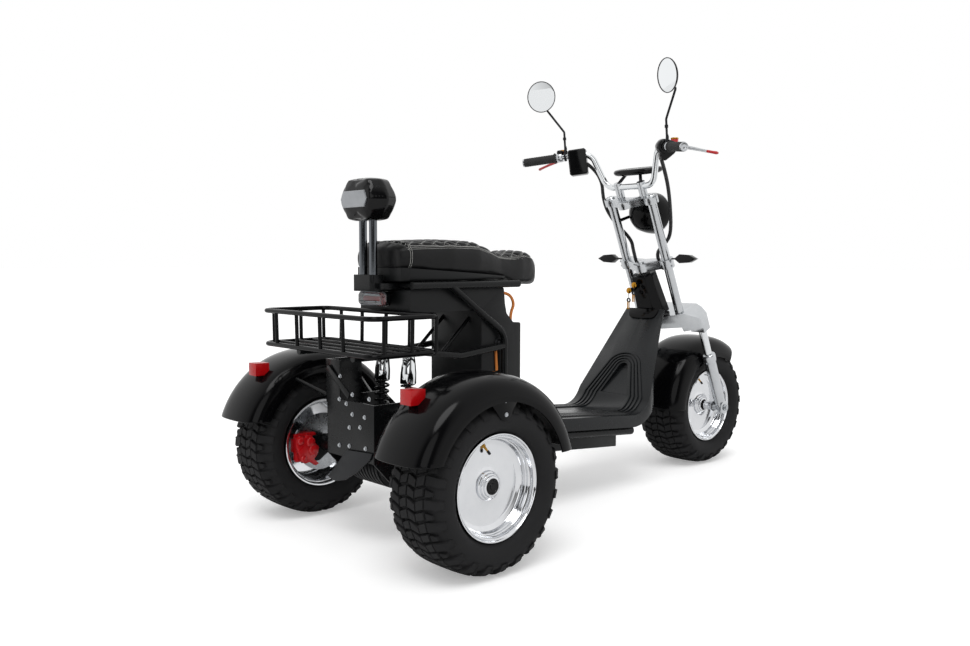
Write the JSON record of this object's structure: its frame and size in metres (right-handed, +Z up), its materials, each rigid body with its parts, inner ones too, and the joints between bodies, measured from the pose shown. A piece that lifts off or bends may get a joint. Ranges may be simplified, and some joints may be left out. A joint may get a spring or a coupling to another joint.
{
  "type": "motorized trike",
  "caption": "Motorized trike with a chopper fork, long handlebar, moulded footboard, quilted saddle with backrest and a rear luggage basket.",
  "frame": {"origin": "on the ground under the middle of the trike's footprint", "axes": "+Y forward, +X to the rider's right, +Z up"},
  "size_m": [1.02, 2.0372, 1.4702],
  "materials": {
    "tyre_rubber": "satin black rubber with open shoulder lugs",
    "rim_alloy": "bright machined and polished",
    "bright_chrome": "mirror chrome",
    "fork_alloy": "satin cast and ground",
    "steel": "brushed",
    "black_gloss": "gloss black paint",
    "black_satin": "satin black powder coat",
    "black_plastic": "moulded, fine grain",
    "gloss_black_plastic": "polished moulding",
    "seat_vinyl": "quilted black vinyl",
    "red_anodised": "red anodised",
    "red_lens": "moulded red lens",
    "smoke_lens": "smoked lens",
    "clear_lens": "clear moulded lens",
    "mirror_face": "silvered glass",
    "grip_rubber": "ribbed soft rubber",
    "silver_panel": "satin silver film",
    "orange_sleeve": "orange insulation",
    "cable_sleeve": "braided sleeve"
  },
  "bodies": {
    "frame": {"footboard": "black_plastic", "battery_box": "black_satin", "main_frame": "black_gloss", "neck_cover": "gloss_black_plastic", "seat_box": "black_plastic", "saddle": "seat_vinyl", "backrest_bracket": "black_satin", "backrest_posts": "bright_chrome", "backrest_pad": "gloss_black_plastic", "backrest_panel": "silver_panel", "tail_light": "smoke_lens", "luggage_basket": "black_gloss", "fender_rear_left": "black_gloss", "fender_rear_right": "black_gloss", "fender_reflectors": "red_lens", "rear_carrier": "black_satin", "drive_unit": "black_satin", "rear_shocks": "bright_chrome", "rear_stub_axles": "steel", "rear_calipers": "red_anodised", "charging_lead": "orange_sleeve"},
    "steering": {"upper_clamp": "fork_alloy", "lower_clamp": "fork_alloy", "fork_tubes": "bright_chrome", "fork_crown": "fork_alloy", "fork_stanchions": "bright_chrome", "fork_legs": "fork_alloy", "front_axle": "steel", "front_fender": "black_gloss", "handlebar": "bright_chrome", "grips": "grip_rubber", "brake_levers": "red_anodised", "switch_box": "black_plastic", "throttle_housing": "black_plastic", "mirrors": "black_satin", "mirror_glass": "mirror_face", "display": "gloss_black_plastic", "headlight": "black_gloss", "headlight_lens": "clear_lens", "turn_signals": "black_plastic", "front_caliper": "red_anodised", "control_cables": "cable_sleeve"},
    "wheel_front": {"tyre_front": "tyre_rubber", "rim_front": "rim_alloy", "disc_front": "steel"},
    "wheel_rear_left": {"tyre_rear_left": "tyre_rubber", "rim_rear_left": "rim_alloy", "disc_rear_left": "steel"},
    "wheel_rear_right": {"tyre_rear_right": "tyre_rubber", "rim_rear_right": "rim_alloy", "disc_rear_right": "steel"}
  },
  "joints": [
    {"name": "steering", "type": "hinge", "parent": "frame", "child": "steering", "pos_m": [0, 0.44556, 0.798], "axis": [0, -0.4067, 0.9135], "range_deg": [-30, 30]},
    {"name": "front_wheel", "type": "hinge", "parent": "steering", "child": "wheel_front", "pos_m": [0, 0.78856, 0.23], "axis": [1, 0, 0], "continuous": true},
    {"name": "rear_wheel_left", "type": "hinge", "parent": "frame", "child": "wheel_rear_left", "pos_m": [-0.4, -0.74144, 0.23], "axis": [1, 0, 0], "continuous": true},
    {"name": "rear_wheel_right", "type": "hinge", "parent": "frame", "child": "wheel_rear_right", "pos_m": [0.4, -0.74144, 0.23], "axis": [1, 0, 0], "continuous": true}
  ]
}
